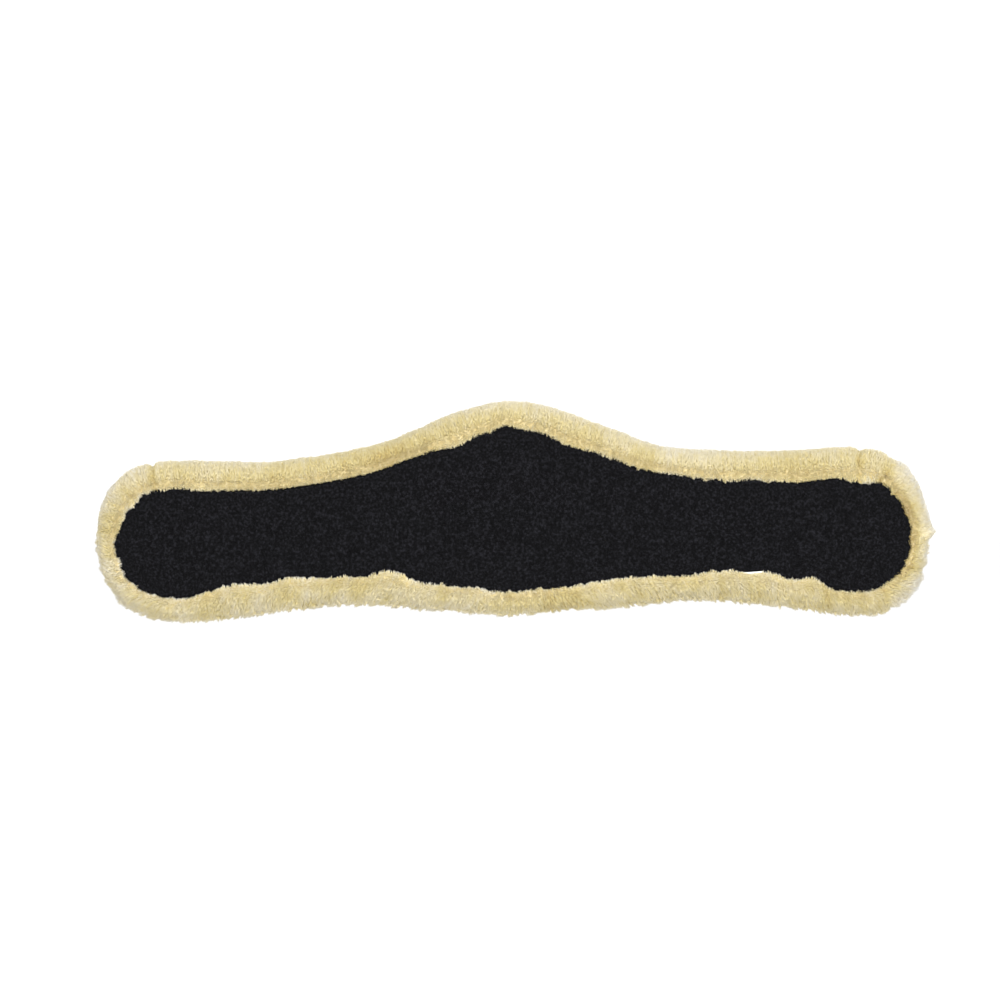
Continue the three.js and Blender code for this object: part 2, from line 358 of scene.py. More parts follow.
def path_at(path, share, rounds=60):
    """Points at shares from 0 to 1 of the length of a path in the roll's section."""
    steps = np.linalg.norm(np.diff(path * [20, 1], axis=0), axis=1)
    length = np.concatenate([[0], np.cumsum(steps)])
    fine = np.linspace(0, length[-1], PATH_POINTS)
    curve = interpolated(fine, length, path)
    for _ in range(rounds):
        curve[1:-1] = (curve[:-2] + 2 * curve[1:-1] + curve[2:]) / 4
    place = np.clip(share, 0, 1) * (PATH_POINTS - 1)
    return interpolated(place, np.arange(PATH_POINTS), curve)


def base_scale(share):
    """The dense base's scale: full at the loop seam and smaller beyond it."""
    return 1 - (1 - BASE_SHARE) * ease(share / LIP_SHARE)


def placed(spot, section, share, scale=1):
    """Points in space from points of the roll's section, with the spill over the panel."""
    front = ease(1 - share / FRONT_FADE) * scale
    outward = section[:, 0] * spot.width - spot.spill * front
    depth = section[:, 1] * MM - 0.3 * np.maximum(spot.spill, 0) * front
    return lifted(spot.point + spot.out * outward[:, None], depth)


def roll_points(spot, share, scale):
    """Points on the rolled edge. Scale 1 is the tips of the wool, and less lies deeper in it."""
    section = ROLL_CORE + (path_at(ROLL_SECTION, share) - ROLL_CORE) * np.reshape(scale, (-1, 1))
    return placed(spot, section, share, scale)


def swelling(spot, place, points):
    """How far the roll stands out from its even section: gathers, soft lumps, creases and tufts."""
    total = edge.ripple(place * STATION_STEP, 6.5 * MM, 11) * (0.15 + 1.0 * spot.endness) * MM
    total += noise(points, 17 * MM, 12) * 0.6 * MM + noise(points, 6 * MM, 13) * 0.25 * MM
    total += FULLNESS * ease((21 * MM - points[:, 1]) / (8 * MM))
    for x, z, size, radius in TUFTS:
        apart = np.hypot(points[:, 0] - x * MM, points[:, 2] - z * MM) / (radius * MM)
        total += size * MM * np.exp(-apart ** 2)
    return total - spot.crease


# ---------- meshes ----------

def new_object(name, mesh):
    thing = bpy.data.objects.new(name, mesh)
    bpy.context.scene.collection.objects.link(thing)
    return thing


def triangle_mesh(name, points, triangles, shades, materials):
    """A mesh of triangles from arrays, with a material index for each."""
    mesh = bpy.data.meshes.new(name)
    mesh.vertices.add(len(points))
    mesh.vertices.foreach_set("co", np.asarray(points, np.float32).ravel())
    mesh.loops.add(len(triangles) * 3)
    mesh.loops.foreach_set("vertex_index", np.asarray(triangles, np.int32).ravel())
    mesh.polygons.add(len(triangles))
    mesh.polygons.foreach_set("loop_start", np.arange(0, len(triangles) * 3, 3, dtype=np.int32))
    for material in materials:
        mesh.materials.append(material)
    mesh.polygons.foreach_set("material_index", np.asarray(shades, np.int32))
    mesh.polygons.foreach_set("use_smooth", np.ones(len(triangles), bool))
    mesh.update(calc_edges=True)
    return mesh


def inside(points, polygon):
    """Which (x, z) points lie inside a closed polygon."""
    x, z = points[:, 0], points[:, 1]
    result = np.zeros(len(points), bool)
    for (x0, z0), (x1, z1) in zip(polygon, np.roll(polygon, -1, axis=0)):
        crosses = (z0 > z) != (z1 > z)
        if z0 != z1:
            result ^= crosses & (x < (x1 - x0) * (z - z0) / (z1 - z0) + x0)
    return result


def ring_at(outward, step):
    """The outline moved outward, or inward if negative, with points that far apart."""
    stride = max(1, int(round(step / STATION_STEP)))
    return (edge.points + edge.out * np.reshape(outward, (-1, 1)))[::stride]


def filled(outward, step):
    """Points and triangles that fill the outline at an outward distance. The rim comes first."""
    rim = ring_at(outward, step)
    across = np.arange(rim[:, 0].min(), rim[:, 0].max(), step)
    up = np.arange(rim[:, 1].min(), rim[:, 1].max(), step * 0.866)
    grid = np.array([(x + (j % 2) * step / 2, z) for j, z in enumerate(up) for x in across])
    inner = (edge.points + edge.out * (np.reshape(outward, (-1, 1)) - 0.7 * step))[::3]
    grid = grid[inside(grid, inner)]
    points = [Vector(p) for p in np.vstack([rim, grid])]
    count = len(rim)
    loop = [(i, (i + 1) % count) for i in range(count)]
    verts, _, faces, *_ = delaunay_2d_cdt(points, loop, [], 1, 1e-7)
    return np.array([tuple(v) for v in verts]), [tuple(f) for f in faces], count


def object_from(name, points, faces, material):
    mesh = bpy.data.meshes.new(name)
    mesh.from_pydata([tuple(p) for p in points], [], faces)
    mesh.materials.append(material)
    mesh.polygons.foreach_set("use_smooth", np.ones(len(mesh.polygons), bool))
    mesh.update()
    return new_object(name, mesh)


def loft_faces(rings, around, closed=False):
    """Faces that join rows of rings: round the liner if closed, or a bar with capped ends."""
    faces = []
    for i in range(rings if closed else rings - 1):
        a, b = i * around, (i + 1) % rings * around
        for k in range(around):
            n = (k + 1) % around
            faces.append((a + k, b + k, b + n, a + n))
    if not closed:
        faces.append(tuple(range(around)))
        faces.append(tuple((rings - 1) * around + k for k in reversed(range(around))))
    return faces


def outward_faces(thing):
    cleaned = bmesh.new()
    cleaned.from_mesh(thing.data)
    bmesh.ops.recalc_face_normals(cleaned, faces=cleaned.faces)
    cleaned.to_mesh(thing.data)
    cleaned.free()


def apply_modifiers(thing):
    graph = bpy.context.evaluated_depsgraph_get()
    made = bpy.data.meshes.new_from_object(thing.evaluated_get(graph))
    thing.modifiers.clear()
    thing.data = made


def half_of(thing, name, sign):
    """A closed copy of the part of a mesh on one side of x = 0."""
    cut = bmesh.new()
    cut.from_mesh(thing.data)
    parted = bmesh.ops.bisect_plane(
        cut, geom=cut.verts[:] + cut.edges[:] + cut.faces[:], plane_co=(0, 0, 0),
        plane_no=(sign, 0, 0), clear_inner=True,
    )
    rim = [e for e in parted["geom_cut"] if isinstance(e, bmesh.types.BMEdge)]
    for face in bmesh.ops.holes_fill(cut, edges=rim)["faces"]:
        face.smooth = False
        for side in face.edges:
            side.smooth = False
    mesh = bpy.data.meshes.new(name)
    cut.to_mesh(mesh)
    cut.free()
    for material in thing.data.materials:
        mesh.materials.append(material)
    return new_object(name, mesh)


SIDES = {"left": -1, "right": 1}


def bend(thing):
    """Bakes the piece's placement into its mesh."""
    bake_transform(thing)


def settle(piece, side, nodes):
    """Bakes a piece's placement into its mesh and hides the CAD nodes of its side and of the
    centre.
    """
    bend(piece)
    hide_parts(*[n for n in nodes if side in n or "centre" in n])


def in_halves(thing, nodes):
    """Splits a whole layer and settles each half."""
    halves = []
    for side, sign in SIDES.items():
        half = half_of(thing, f"{thing.name}_{side}", sign)
        settle(half, side, nodes)
        halves.append(half)
    bpy.data.objects.remove(thing)
    return halves


# ---------- materials ----------

def colour(red, green, blue):
    """A colour given as on a screen, 0 to 255, for a shader."""
    parts = [c / 255 for c in (red, green, blue)]
    return [c / 12.92 if c <= 0.04045 else ((c + 0.055) / 1.055) ** 2.4 for c in parts] + [1]


def principled(name, **values):
    material = bpy.data.materials.new(name)
    material.use_nodes = True
    shader = material.node_tree.nodes["Principled BSDF"]
    for socket, value in values.items():
        shader.inputs[socket.replace("_", " ")].default_value = value
    return material, shader


def add_node(material, kind, **values):
    node = material.node_tree.nodes.new(kind)
    for socket, value in values.items():
        node.inputs[socket.replace("_", " ")].default_value = value
    return node


def noisy_material(name, scale, stops, bump_scale, bump_mm, strength=0.6, **values):
    """A finish coloured by noise, through a ramp of (place, colour), with finer bump."""
    material, shader = principled(name, **values)
    tree = material.node_tree
    where = tree.nodes.new("ShaderNodeTexCoord")
    broad = add_node(material, "ShaderNodeTexNoise", Scale=scale, Detail=4, Roughness=0.65)
    ramp = tree.nodes.new("ShaderNodeValToRGB")
    while len(ramp.color_ramp.elements) < len(stops):
        ramp.color_ramp.elements.new(0.5)
    for element, (place, tone) in zip(ramp.color_ramp.elements, stops):
        element.position = place
        element.color = colour(*tone)
    fine = add_node(material, "ShaderNodeTexNoise", Scale=bump_scale, Detail=3, Roughness=0.6)
    bump = add_node(material, "ShaderNodeBump", Strength=strength, Distance=bump_mm * MM)
    tree.links.new(where.outputs["Object"], broad.inputs["Vector"])
    tree.links.new(broad.outputs["Fac"], ramp.inputs["Fac"])
    tree.links.new(ramp.outputs["Color"], shader.inputs["Base Color"])
    tree.links.new(where.outputs["Object"], fine.inputs["Vector"])
    tree.links.new(fine.outputs["Fac"], bump.inputs["Height"])
    tree.links.new(bump.outputs["Normal"], shader.inputs["Normal"])
    return material


def simple_material(name, scale, dark, light, roughness, bump_mm):
    stops = [(0.3, dark), (0.7, light)]
    return noisy_material(name, scale, stops, scale * 2, bump_mm, Roughness=roughness)


WOOL_TONES = [
    (184, 160, 98), (199, 179, 116), (208, 192, 134), (215, 201, 149),
    (219, 207, 166), (223, 213, 181), (226, 219, 199), (230, 226, 214),
]
FUZZ_TONES = [(3, 3, 4), (8, 8, 9), (15, 15, 17), (27, 27, 30), (45, 45, 49)]


def strand_materials(name, tones, sheen, specular):
    """A plain material for each tone, from dark to light."""
    return [
        principled(
            f"{name}_{i}", Base_Color=colour(*tone), Roughness=0.85, Sheen_Weight=sheen,
            Specular_IOR_Level=specular,
        )[0]
        for i, tone in enumerate(tones, 1)
    ]


wool_base = noisy_material(
    "wool_base", 320, [(0.3, (182, 162, 112)), (0.5, (200, 184, 136)), (0.7, (214, 201, 158))],
    900, 0.8, Roughness=0.95, Sheen_Weight=0.3,
)
wool_strand = strand_materials("wool_fibre", WOOL_TONES, 0.25, 0.15)
loop_fabric = noisy_material(
    "loop_fabric", 520, [(0.35, (3, 3, 4)), (0.5, (10, 10, 12)), (0.68, (30, 30, 34))],
    1400, 0.4, 0.8, Roughness=0.95, Specular_IOR_Level=0.1,
)
loop_fibre = strand_materials("loop_fibre", FUZZ_TONES, 0.02, 0.11)
felt = simple_material("interlining_felt", 500, (120, 120, 116), (168, 168, 162), 0.9, 0.3)
foam = simple_material("foam", 900, (205, 196, 172), (232, 226, 208), 0.9, 0.2)
hide = simple_material("sheepskin_hide", 160, (196, 172, 128), (222, 204, 166), 0.6, 0.2)
black_thread = simple_material("black_thread", 2500, (6, 6, 7), (20, 20, 23), 0.8, 0.05)
cream_thread = simple_material("cream_thread", 2500, (190, 172, 126), (228, 214, 172), 0.6, 0.05)
satin = simple_material("label_satin", 3000, (232, 232, 230), (250, 250, 248), 0.4, 0.03)


# ---------- strands ----------

def unit(vectors):
    return vectors / np.maximum(np.linalg.norm(vectors, axis=1), 1e-9)[:, None]


def strand_arrays(root, mid, tip, radius):
    """Points and triangles of three-sided fibres, each a closed spike, bent at mid if given."""
    count = len(root)
    forward = unit(tip - root)
    side = unit(np.cross(forward, unit(RNG.normal(size=(count, 3)))))
    other = np.cross(forward, side)
    angles = (np.arange(3) * 2 * math.pi / 3)[None, :, None]
    spoke = side[:, None, :] * np.cos(angles) + other[:, None, :] * np.sin(angles)
    spoke = spoke * radius[:, None, None]
    rows = [root[:, None, :] + spoke]
    one = [(0, 2, 1)]
    if mid is None:
        one += [(k, (k + 1) % 3, 3) for k in range(3)]
        is_tip = [False, True, True, True]
    else:
        rows.append(mid[:, None, :] + spoke * 0.85)
        for k in range(3):
            n = (k + 1) % 3
            one += [(k, n, 3 + n), (k, 3 + n, 3 + k), (3 + k, 3 + n, 6)]
        is_tip = [False] + [False, False, True] * 3
    points = np.concatenate(rows + [tip[:, None, :]], axis=1)
    triangles = np.array(one)[None] + np.arange(count)[:, None, None] * points.shape[1]
    return points.reshape(-1, 3), triangles.reshape(-1, 3), np.array(is_tip)


def grow(name, root, mid, tip, radius, low_tone, high_tone, materials):
    """Strand pieces for each half of the liner, none with too many strands."""
    for side, sign in SIDES.items():
        chosen = np.nonzero(root[:, 0] * sign >= 0)[0]
        parts = max(1, math.ceil(len(chosen) / MOST_STRANDS))
        chosen = chosen[np.argsort(root[chosen, 0] * sign, kind="stable")]
        for number, rows in enumerate(np.array_split(chosen, parts), 1):
            bent = None if mid is None else mid[rows]
            points, triangles, is_tip = strand_arrays(root[rows], bent, tip[rows], radius[rows])
            shades = np.where(is_tip[None], high_tone[rows][:, None], low_tone[rows][:, None])
            label = f"{name}_{side}_{number}"
            mesh = triangle_mesh(label, points, triangles, shades.ravel(), materials)
            piece = new_object(label, mesh)
            bend(piece)


def rounded_tones(tone, spread, tones):
    """Whole tone numbers from drifting ones, with some scatter from strand to strand."""
    tone = tone + scatter(len(tone), spread)
    return np.clip(np.round(tone), 0, len(tones) - 1).astype(int)


def locks_of(u, v, seed):
    """The uneven lock of wool each (u, v) belongs to: the way to its middle, and its number."""
    home = np.stack([np.floor(u), np.floor(v), 0 * u], axis=1)
    best = np.full(len(u), np.inf)
    to_u, to_v, number = 0 * u, 0 * v, home.copy()
    for i, j in np.ndindex(3, 3):
        cell = home + (i - 1, j - 1, 0)
        du = cell[:, 0] + 0.5 + 0.48 * lattice(cell, seed) - u
        dv = cell[:, 1] + 0.5 + 0.48 * lattice(cell, seed + 1) - v
        apart = du ** 2 + dv ** 2
        nearer = apart < best
        best = np.where(nearer, apart, best)
        to_u, to_v = np.where(nearer, du, to_u), np.where(nearer, dv, to_v)
        number[nearer] = cell[nearer]
    return to_u, to_v, number


class EdgeWool:
    """Wool all round the rolled edge, thickest where it faces the loop side.

    How a fibre lies, rises and is toned is a sum of small effects, in millimetres or in steps
    along WOOL_TONES, each weighted by where it grows.
    """

    def __init__(self):
        area = edge.length * ROLL_GIRTH * MM
        front_count = int(area * FRONT_SHARE * EDGE_FRONT_DENSITY)
        back_count = int(area * BACK_SHARE * EDGE_BACK_DENSITY)
        share = np.concatenate([
            RNG.uniform(0.0, FRONT_SHARE, front_count), RNG.uniform(FRONT_SHARE, 1.0, back_count),
        ])
        place = RNG.uniform(0, edge.count, len(share))
        spot = edge.at(place)
        full = roll_points(spot, share, 1)
        core = roll_points(spot, share, CORE_SCALE)
        self.share, self.spot, self.full = share, spot, full
        self.radial = unit(full - core)
        self.swell = swelling(spot, place, full)
        push = self.swell * ease(share / 0.05)
        self.base = roll_points(spot, share, base_scale(share) - 0.03) + self.radial * push[:, None]

        self.lower = ease(0.5 - spot.out[:, 1] * 1.5)
        self.behind = ease((share - 0.5) / 0.25)
        inward = ease(1 - share / 0.075) * (1 - 0.9 * spot.neat)
        self.inward = np.maximum(inward, 1.5 * spot.join * ease(1 - share / 0.2))
        self.slant = -self.lower * np.tanh(spot.point[:, 0] / (40 * MM))
        self.arc, self.round = place * STATION_STEP, share * ROLL_GIRTH * MM
        sway = noise(full, 9 * MM, 25) * 1.5 * MM
        across = (self.arc + sway) / LOCK_WIDTH
        self.pull_along, self.pull_round, lock = locks_of(across, self.round / LOCK_LENGTH, 61)
        self.own = [lattice(lock, seed) for seed in (64, 65, 66, 67)]
        drawn = self.arc - self.slant * 0.7 * self.round
        self.streaks = np.stack([drawn, self.round * 0.16, 0 * place], axis=1)
        self.ridge = noise(self.streaks, 1.5 * MM, 26)

    def leans(self):
        """How far each tip lies over along the liner, and round the roll."""
        share, full, lower, behind = self.share, self.full, self.lower, self.behind
        outward = ease((share - 0.05) / 0.12) * ease((0.62 - share) / 0.2)
        spilling = 1.3 + 0.25 * np.maximum(self.spot.spill, 0) / MM
        rough = 0.2 + 0.8 * np.maximum(lower, behind)
        tight = 0.05 + 0.15 * lower + 0.15 * np.maximum(noise(full, 22 * MM, 63), 0)
        tight = tight * (1 - behind) + 0.25 * behind

        lean_round = outward * (3.8 + 0.4 * lower) - self.inward * spilling
        lean_round -= self.inward * lower * edge.ripple(self.arc, 1.5 * MM, 54) * 1.2
        lean_round += (noise(full, 12 * MM, 21) + noise(full, 25 * MM, 22)) * 0.8 * rough
        lean_round += ease((share - 0.86) / 0.1) * 1.8
        own_round = self.own[1] * (0.1 + 0.4 * lower)
        lean_round += self.pull_round * LOCK_LENGTH / MM * tight + own_round

        lean_along = (noise(full, 12 * MM, 23) + noise(full, 25 * MM, 24)) * 0.9 * rough
        lean_along += self.slant * 2.6 * ease(share / 0.1)
        own_along = self.own[0] * (0.08 + 0.45 * lower)
        lean_along += self.pull_along * LOCK_WIDTH / MM * tight + own_along

        lean_along = (lean_along + scatter(len(share), 0.17)) * MM
        lean_round = (lean_round + scatter(len(share), 0.25)) * MM
        return lean_along, lean_round

    def rises(self):
        """How far each tip stands out from its root."""
        share, lower = self.share, self.lower
        reach = self.full - roll_points(self.spot, share, base_scale(share))
        rise = np.maximum(np.linalg.norm(reach, axis=1), 1.2 * MM)
        rise = rise * (1 + scatter(len(share), 0.15)) + 0.4 * MM
        fringe = ease((share - 0.25) / 0.1)
        rise += self.own[2] * (0.2 + 0.35 * lower + 1.15 * lower * fringe) * MM
        rise += self.ridge * ease((share - 0.1) / 0.1) * (0.5 + 0.25 * lower) * MM
        return rise

    def tips(self):
        spot, share = self.spot, self.share
        lean_along, lean_round = self.leans()
        rise = self.rises()
        ahead = roll_points(spot, np.minimum(share + 0.01, 1), 1)
        back = roll_points(spot, np.maximum(share - 0.01, 0), 1)
        tip = self.base + self.radial * rise[:, None] + lifted(spot.along, 0) * lean_along[:, None]
        tip += unit(ahead - back) * lean_round[:, None]
        return self.clear_of_label(tip)

    def clear_of_label(self, tip):
        """The tips, lowered in front of the label so that its fold shows."""
        past = tip[:, 0] - LABEL_X
        cover = LABEL_COVER + LABEL_COVER_SLOPE * past + self.own[3] * 0.3 * MM
        near = (np.abs(past) < LABEL_WIDE / 2) & (self.spot.out[:, 1] < 0) & (self.share < 0.3)
        tip[:, 2] = np.where(near, np.minimum(tip[:, 2], cover), tip[:, 2])
        return tip

    def tones(self):
        """The tone numbers of each fibre's lower and upper parts, with painted light and shade in
        them.
        """
        spot, share, full = self.spot, self.share, self.full
        lower, behind = self.lower, self.behind
        outer = ease(share / FRONT_FADE) * ease((1.15 - share) / 0.5)
        # Painted shade in the hollows and creases of the roll, and painted light on its swellings.
        hollow_shade = np.clip(-self.swell / MM + 0.7, -0.6, 1.8)
        # Painted light on the right end, as if lit from the right: its outer band lighter, the band
        # beside the panel darker.
        painted_light_right = spot.endness * ease(spot.point[:, 0] / (100 * MM))
        drift = noise(full, 20 * MM, 31) * 0.8 + noise(full, 7 * MM, 32) * 0.35
        fine = self.ridge * 0.3 + noise(self.streaks, 1.0 * MM, 33) * 0.7
        drift = drift * (1 - 0.5 * behind) + fine + self.own[3] * 0.25
        drift += lower * (1 - behind) * noise(full, 8 * MM, 34)

        # Tone climbs outward from the seam: the darker golden band beside the panel is painted
        # shade in the crease there. Along the bottom that shade is weaker and the outer band a
        # little darker, painted shade on the underside.
        tone = 2.7 + 0.8 * outer + drift - hollow_shade * 0.9 + lower * (0.3 - 0.5 * outer)
        tone += spot.endness * (0.5 + 0.4 * outer)
        # Painted light and shade on the right end.
        tone += painted_light_right * (2.7 * ease(outer / 0.3) + 1.2 * outer - 2.9)
        tone = tone * (1 - behind) + (4.2 + drift) * behind
        whiter = ease((outer - 0.6) / 0.4) * 0.5
        whiter += self.inward * (1.3 + 1.0 * lower) * (1 - 0.7 * painted_light_right)
        low = rounded_tones(tone - 0.15, 0.3, WOOL_TONES)
        high = rounded_tones(tone + 0.35 + whiter, 0.3, WOOL_TONES)
        return low, high

    def plant(self):
        tip = self.tips()
        mid = self.base + (tip - self.base) * 0.5 + self.radial * 0.35 * MM
        radius = RNG.uniform(*EDGE_FIBRE, len(self.share)) * MM
        low, high = self.tones()
        grow("edge_pile", self.base, mid, tip, radius, low, high, wool_strand)


def face_pile():
    """Wool on the face against the horse."""
    corners = ring_at(0, 5 * MM)
    low, high = corners.min(axis=0), corners.max(axis=0)
    count = int((high[0] - low[0]) * (high[1] - low[1]) * FACE_DENSITY)
    flat = RNG.uniform(low, high, (count, 2))
    flat = flat[inside(flat, ring_at(3.5 * MM, 5 * MM))]
    count = len(flat)
    root = lifted(flat, ROLL_BACK - FACE_PILE_ROOT)
    lumps = noise(root, 18 * MM, 12) * 0.6 * MM + noise(root, 6 * MM, 13) * 0.4 * MM
    lean = np.stack([
        noise(root, 8 * MM, s) * 1.5 * MM + noise(root, 18 * MM, s + 1) * 1.8 * MM for s in (41, 43)
    ], axis=1)
    *pull, lock = locks_of(*((flat + lean[:, ::-1] * 0.6) / FACE_LOCK).T, 68)
    own = [lattice(lock, seed) for seed in (69, 70, 71)]
    for i in (0, 1):
        lean[:, i] += pull[i] * FACE_LOCK * 0.25 + (own[i] * 0.5 + scatter(count, 0.25)) * MM
    rise = FACE_PILE_RISE + lumps + (own[2] * 0.3 + scatter(count, 0.3)) * MM
    tip = root + lifted(lean, rise)
    mid = root + (tip - root) * 0.5 + np.array([0, 0.7 * MM, 0])
    radius = RNG.uniform(*FACE_FIBRE, count) * MM
    tone = 4.2 + noise(root, 26 * MM, 35) * 0.4 + noise(root, 5 * MM, 36) * 0.4 + own[2] * 0.3
    low = rounded_tones(tone - 0.3, 0.3, WOOL_TONES)
    high = rounded_tones(tone + 0.4, 0.3, WOOL_TONES)
    grow("face_pile", root, mid, tip, radius, low, high, wool_strand)


# ---------- wool bases and hides ----------

def ring_mesh(name, sections, material):
    """A closed ring round the liner, from an array of stations by points of its section."""
    faces = loft_faces(*sections.shape[:2], closed=True)
    thing = object_from(name, sections.reshape(-1, 3), faces, material)
    outward_faces(thing)
    return thing


def edge_nodes(name):
    return [f"{name}_{where}" for where in ("left", "centre_top", "centre_bottom", "right")]


def crossed(stations, shares):
    """Every share at every station."""
    return np.repeat(stations, len(shares)).astype(float), np.tile(shares, len(stations))


def section_ring(stations, path, shares):
    """A path of the roll's section at each station, as stations by points."""
    place, share = crossed(stations, shares)
    points = placed(edge.at(place), path_at(path, share, 20), 1)
    return points.reshape(len(stations), len(shares), 3)


def edge_base():
    """The dense wool under the fibres of the rolled edge: a closed band round the liner."""
    stations = np.arange(0, edge.count - 1, 2)
    place, share = crossed(stations, np.linspace(0, 1, 22))
    spot = edge.at(place)
    points = roll_points(spot, share, base_scale(share))
    full = roll_points(spot, share, 1)
    core = roll_points(spot, share, CORE_SCALE)
    push = swelling(spot, place, full) * ease(share / 0.05)
    push += noise(points, 2.2 * MM, 14) * 0.3 * MM
    points = points + unit(full - core) * push[:, None]
    outer = points.reshape(len(stations), -1, 3)
    inner = section_ring(stations, WOOL_INSIDE, np.linspace(1, 0, 12))
    thing = ring_mesh("rolled_wool", np.concatenate([outer, inner], axis=1), wool_base)
    for half in in_halves(thing, edge_nodes("edge_wool")):
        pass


def edge_skin():
    """The strip of hide that carries the rolled edge's wool."""
    stations = np.arange(0, edge.count - 1, 4)
    outer = section_ring(stations, HIDE_OUTSIDE, np.linspace(0, 1, 14))
    inner = section_ring(stations, HIDE_INSIDE, np.linspace(1, 0, 14))
    thing = ring_mesh("rolled_hide", np.concatenate([outer, inner], axis=1), hide)
    in_halves(thing, edge_nodes("edge_hide"))


def slab(name, outward, front, back, step, material):
    """A closed flat layer. Front and back are depths, or give one for each (x, z) point."""
    flat, faces, rim = filled(outward, step)
    sides = [lifted(flat, d(flat) if callable(d) else d) for d in (front, back)]
    count = len(flat)
    all_faces = list(faces) + [tuple(v + count for v in reversed(f)) for f in faces]
    all_faces += [(i, (i + 1) % rim, (i + 1) % rim + count, i + count) for i in range(rim)]
    thing = object_from(name, np.concatenate(sides), all_faces, material)
    outward_faces(thing)
    return thing


def layer_nodes(name):
    return [f"{name}_{where}" for where in ("left", "centre", "right")]


def inner_layers():
    def pile_top(flat):
        return ROLL_BACK - 1.9 * MM + noise(lifted(flat, 0), 14 * MM, 17) * 0.4 * MM

    face = slab("face_fleece", -0.3 * MM, wool_low.y + 0.1 * MM, pile_top, 4 * MM, wool_base)
    for half in in_halves(face, layer_nodes("face_wool")):
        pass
    skin = slab("face_skin", -0.3 * MM, hide_low.y, hide_high.y, 6 * MM, hide)
    in_halves(skin, layer_nodes("face_hide"))
    core = slab("foam_pad", -0.8 * MM, foam_low.y + 0.2 * MM, foam_high.y - 0.2 * MM, 6 * MM, foam)
    for half in in_halves(core, layer_nodes("foam_core")):
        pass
    lining = slab("felt_lining", -4.5 * MM, felt_low.y, felt_high.y, 6 * MM, felt)
    for half in in_halves(lining, layer_nodes("interlining")):
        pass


# ---------- loop panel ----------

def depth_inside(flat):
    """How far (x, z) points lie from the panel's edge."""
    tree = KDTree(edge.count)
    for i, (x, z) in enumerate(edge.points):
        tree.insert((x, z, 0), i)
    tree.balance()
    return np.array([tree.find((x, z, 0))[2] for x, z in flat])


def swollen(points, faces, rim):
    """How far the foam swells each point of the cloth that is sewn down round its rim."""
    thing = object_from("cloth", points, faces, loop_fabric)
    held = thing.vertex_groups.new(name="held")
    held.add(list(range(rim)), 1.0, "REPLACE")
    cloth = thing.modifiers.new("cloth", "CLOTH")
    cloth.settings.vertex_group_mass = "held"
    cloth.settings.use_pressure = True
    cloth.settings.uniform_pressure_force = 4
    cloth.settings.effector_weights.gravity = 0
    cloth.point_cache.frame_start = 1
    cloth.point_cache.frame_end = CLOTH_FRAMES
    for number in range(1, CLOTH_FRAMES + 1):
        bpy.context.scene.frame_set(number)
    graph = bpy.context.evaluated_depsgraph_get()
    moved = corners_of(thing.evaluated_get(graph).data)
    bpy.context.scene.frame_set(1)
    bpy.data.objects.remove(thing)
    return points[:, 1] - moved[:, 1]


def loop_panel():
    """The brushed loop fabric, sewn down all round and swollen gently by the foam behind it."""
    reach = PANEL_TUCK + np.maximum(-edge.spill, 0)

    def front(flat):
        points = lifted(flat, 0)
        lift = 0
        _, faces, rim = filled(reach, PANEL_STEP)
        lift = MOST_SWELL * np.tanh(np.maximum(swollen(points, faces, rim), 0) / MOST_SWELL)
        dip = 0.9 * MM * np.exp(-depth_inside(flat) / (3.5 * MM))
        from_lump = np.hypot(flat[:, 0] - 0.035, flat[:, 1] + 0.015)
        lump = 0.5 * MM * np.exp(-from_lump ** 2 / 0.05 ** 2)
        slack = noise(points, 34 * MM, 71) * 0.25 * MM + noise(points, 11 * MM, 72) * 0.12 * MM
        return dip - lift - lump + slack

    thing = slab("loop_cloth", reach, front, panel_high.y - 0.1 * MM, PANEL_STEP, loop_fabric)
    thing.modifiers.new("round", "SUBSURF").levels = 1
    apply_modifiers(thing)
    outward_faces(thing)
    shift = corners_of(thing.data)
    shift[:, 1] += noise(shift, 1.9 * MM, 73) * 0.07 * MM
    for vertex, place in zip(thing.data.vertices, shift):
        vertex.co = place
    loop_fuzz(thing)
    rim_fuzz()
    for half in in_halves(thing, layer_nodes("loop_panel")):
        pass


def surface_samples(thing, density):
    """Random points on the loop side of a mesh, with their normals."""
    thing.data.calc_loop_triangles()
    corners = corners_of(thing.data)[np.array([t.vertices[:] for t in thing.data.loop_triangles])]
    normal = np.cross(corners[:, 1] - corners[:, 0], corners[:, 2] - corners[:, 0])
    area = np.linalg.norm(normal, axis=1) / 2
    normal = unit(normal)
    keep = normal[:, 1] < -0.3
    corners, normal, area = corners[keep], normal[keep], area[keep]
    count = int(area.sum() * density)
    chosen = RNG.choice(len(area), count, p=area / area.sum())
    first, second = RNG.uniform(size=(2, count, 1))
    over = first + second > 1
    first, second = np.where(over, 1 - first, first), np.where(over, 1 - second, second)
    a, b, c = corners[chosen].transpose(1, 0, 2)
    return a + (b - a) * first + (c - a) * second, normal[chosen]


def loop_fuzz(panel):
    """Short brushed fibres on the loop panel."""
    root, normal = surface_samples(panel, FUZZ_DENSITY)
    count = len(root)
    lean = scatter((count, 3), 0.45)
    lean[:, 0] += noise(root, 9 * MM, 74) * 0.7
    lean[:, 2] += noise(root, 9 * MM, 75) * 0.7
    tip = root + unit(normal + lean) * (RNG.uniform(*FUZZ_LENGTH, count) * MM)[:, None]
    radius = RNG.uniform(*FUZZ_FIBRE, count) * MM
    tone = 0.4 + noise(root, 0.9 * MM, 76) * 1.5 + noise(root, 30 * MM, 77) * 0.2
    tones = rounded_tones(tone, 0.9, FUZZ_TONES)
    root = root - normal * 0.1 * MM
    grow("loop_fuzz", root, None, tip, radius, tones, tones, loop_fibre)


